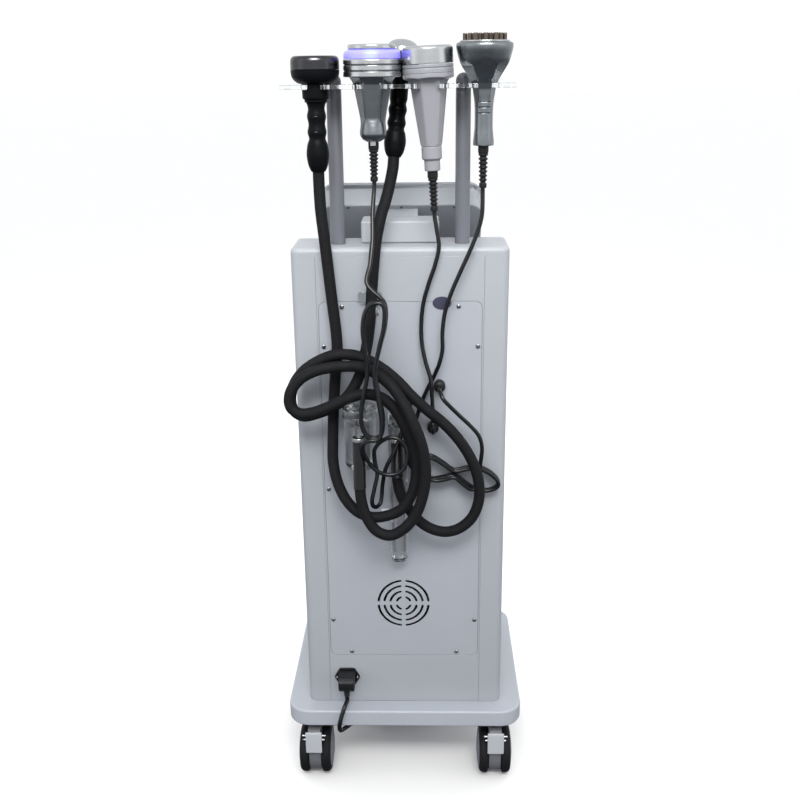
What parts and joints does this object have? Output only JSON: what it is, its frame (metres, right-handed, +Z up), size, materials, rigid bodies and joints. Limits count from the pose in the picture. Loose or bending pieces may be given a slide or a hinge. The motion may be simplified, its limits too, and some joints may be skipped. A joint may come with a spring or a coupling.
{
  "type": "cavitation slimming machine",
  "caption": "Floor-standing body-shaping machine on casters: tilting display, clear holder with corded handpieces, hoses looped at the rear.",
  "frame": {"origin": "on the floor, under the middle of the machine without its cords", "axes": "+Z up, +Y towards the machine's front and display, +X to the right of someone who faces its rear"},
  "size_m": [0.376, 0.399, 1.1568],
  "materials": {
    "cabinet_paint": "satin cool light grey",
    "board_paint": "satin pale grey",
    "column_paint": "satin grey",
    "acrylic": "polished clear acrylic",
    "clear_plastic": "clear moulded plastic",
    "screen": "gloss black",
    "tyre": "matt black",
    "fork_plastic": "satin light grey",
    "pedal_plastic": "satin near white",
    "black_plastic": "satin black",
    "dark_metal": "dark polished metal",
    "steel": "satin machined",
    "chrome": "mirror polish",
    "silver_plastic": "satin silver paint",
    "gunmetal": "satin",
    "white_plastic": "satin white",
    "light_ring": "lit violet blue",
    "casing_metal": "satin",
    "hose_rubber": "matt black braid",
    "cord_rubber": "gloss black"
  },
  "bodies": {
    "cabinet": {"base_board": "board_paint", "top_cover": "cabinet_paint", "service_panel": "cabinet_paint", "rear_frame": "cabinet_paint", "front_panel": "cabinet_paint", "side_panel_left": "cabinet_paint", "side_panel_right": "cabinet_paint", "inlet_socket": "black_plastic", "fan_housing": "black_plastic", "power_supply": "casing_metal", "vacuum_pump": "casing_metal", "column_left": "column_paint", "column_right": "column_paint", "holder_plate": "acrylic", "neck_box": "cabinet_paint", "filter_cup": "clear_plastic", "filter_bottle": "clear_plastic", "cord_hook": "clear_plastic", "panel_plug_white": "black_plastic", "panel_plug_pin": "black_plastic", "hose_vacuum": "hose_rubber", "hose_small": "hose_rubber", "cord_hank_cavitation": "cord_rubber", "cord_hank_pin": "cord_rubber", "cord_cavitation": "cord_rubber", "cord_cavitation_tail": "cord_rubber", "cord_white": "cord_rubber", "cord_pin": "cord_rubber", "cord_pin_tail": "cord_rubber", "mains_connector": "black_plastic", "mains_coil": "cord_rubber", "mains_cord": "cord_rubber", "mains_plug": "black_plastic"},
    "caster_rear_left": {"caster_fork_rear_left": "fork_plastic"},
    "wheels_rear_left": {"caster_wheels_rear_left": "tyre"},
    "brake_pedal_rear_left": {"brake_pedal_rear_left": "pedal_plastic"},
    "caster_rear_right": {"caster_fork_rear_right": "fork_plastic"},
    "wheels_rear_right": {"caster_wheels_rear_right": "tyre"},
    "brake_pedal_rear_right": {"brake_pedal_rear_right": "pedal_plastic"},
    "caster_front_left": {"caster_fork_front_left": "fork_plastic"},
    "wheels_front_left": {"caster_wheels_front_left": "tyre"},
    "caster_front_right": {"caster_fork_front_right": "fork_plastic"},
    "wheels_front_right": {"caster_wheels_front_right": "tyre"},
    "fan_rotor": {"fan_rotor": "black_plastic"},
    "display": {"display_housing": "cabinet_paint", "display_glass": "screen"},
    "vacuum_handpiece": {"vacuum_grip": "black_plastic", "vacuum_ring": "dark_metal"},
    "cavitation_handpiece": {"cavitation_body": "silver_plastic", "cavitation_head": "steel", "cavitation_light_ring": "light_ring", "cavitation_strain_relief": "black_plastic"},
    "small_handpiece": {"small_grip": "black_plastic", "small_dome": "chrome"},
    "white_handpiece": {"white_body": "white_plastic", "white_head_ring": "steel", "white_strain_relief": "black_plastic"},
    "pin_handpiece": {"pin_body": "silver_plastic", "pin_electrode": "gunmetal", "pin_strain_relief": "black_plastic"}
  },
  "joints": [
    {"name": "caster_swivel_rear_left", "type": "hinge", "parent": "cabinet", "child": "caster_rear_left", "pos_m": [-0.147, -0.0805, 0], "axis": [0, 0, 1], "continuous": true},
    {"name": "wheel_spin_rear_left", "type": "hinge", "parent": "caster_rear_left", "child": "wheels_rear_left", "pos_m": [-0.147, -0.0925, 0.04], "axis": [1, 0, 0], "continuous": true},
    {"name": "brake_press_rear_left", "type": "hinge", "parent": "caster_rear_left", "child": "brake_pedal_rear_left", "pos_m": [-0.147, -0.1305, 0.088], "axis": [1, 0, 0], "range_deg": [0, 6]},
    {"name": "caster_swivel_rear_right", "type": "hinge", "parent": "cabinet", "child": "caster_rear_right", "pos_m": [0.147, -0.0805, 0], "axis": [0, 0, 1], "continuous": true},
    {"name": "wheel_spin_rear_right", "type": "hinge", "parent": "caster_rear_right", "child": "wheels_rear_right", "pos_m": [0.147, -0.0925, 0.04], "axis": [1, 0, 0], "continuous": true},
    {"name": "brake_press_rear_right", "type": "hinge", "parent": "caster_rear_right", "child": "brake_pedal_rear_right", "pos_m": [0.147, -0.1305, 0.088], "axis": [1, 0, 0], "range_deg": [0, 6]},
    {"name": "caster_swivel_front_left", "type": "hinge", "parent": "cabinet", "child": "caster_front_left", "pos_m": [-0.147, 0.1635, 0], "axis": [0, 0, 1], "continuous": true},
    {"name": "wheel_spin_front_left", "type": "hinge", "parent": "caster_front_left", "child": "wheels_front_left", "pos_m": [-0.147, 0.1515, 0.04], "axis": [1, 0, 0], "continuous": true},
    {"name": "caster_swivel_front_right", "type": "hinge", "parent": "cabinet", "child": "caster_front_right", "pos_m": [0.147, 0.1635, 0], "axis": [0, 0, 1], "continuous": true},
    {"name": "wheel_spin_front_right", "type": "hinge", "parent": "caster_front_right", "child": "wheels_front_right", "pos_m": [0.147, 0.1515, 0.04], "axis": [1, 0, 0], "continuous": true},
    {"name": "fan_spin", "type": "hinge", "parent": "cabinet", "child": "fan_rotor", "pos_m": [0, -0.0845, 0.3125], "axis": [0, 1, 0], "continuous": true},
    {"name": "display_tilt", "type": "hinge", "parent": "cabinet", "child": "display", "pos_m": [0, 0.0135, 0.893], "axis": [1, 0, 0], "range_deg": [-8, 12]},
    {"name": "vacuum_lift", "type": "slide", "parent": "cabinet", "child": "vacuum_handpiece", "axis": [0, 0, 1], "range_m": [0, 0.12]},
    {"name": "cavitation_lift", "type": "slide", "parent": "cabinet", "child": "cavitation_handpiece", "axis": [0, 0, 1], "range_m": [0, 0.13]},
    {"name": "small_lift", "type": "slide", "parent": "cabinet", "child": "small_handpiece", "axis": [0.0906, 0.2071, 0.9741], "range_m": [0, 0.108]},
    {"name": "white_lift", "type": "slide", "parent": "cabinet", "child": "white_handpiece", "axis": [0, 0, 1], "range_m": [0, 0.172]},
    {"name": "pin_lift", "type": "slide", "parent": "cabinet", "child": "pin_handpiece", "axis": [0, 0, 1], "range_m": [0, 0.14]}
  ]
}
